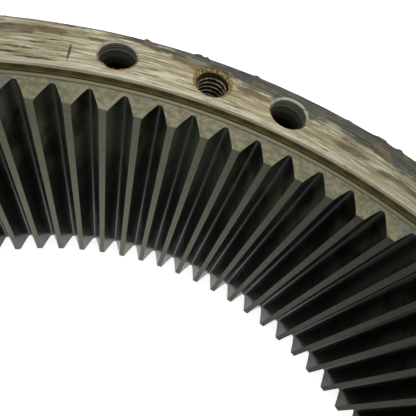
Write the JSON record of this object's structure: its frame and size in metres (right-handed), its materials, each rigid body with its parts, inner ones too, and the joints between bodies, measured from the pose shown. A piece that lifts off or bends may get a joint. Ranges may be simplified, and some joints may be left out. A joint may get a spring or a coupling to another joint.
{
  "type": "internal ring gear",
  "caption": "Internal spur ring gear with a raised rim on one end face, drilled through for bolts and tapped for jacking screws.",
  "frame": {"origin": "centre of the gear's axis on the plain lower end face", "axes": "+Z along the gear's axis towards the raised rim, +X and +Y each through a bolt hole"},
  "size_m": [0.3519, 0.352, 0.108],
  "materials": {
    "gear_steel": "turned and shaped, worn, with a light film of oil and rust"
  },
  "bodies": {
    "root": {"ring_gear": "gear_steel"}
  },
  "joints": []
}
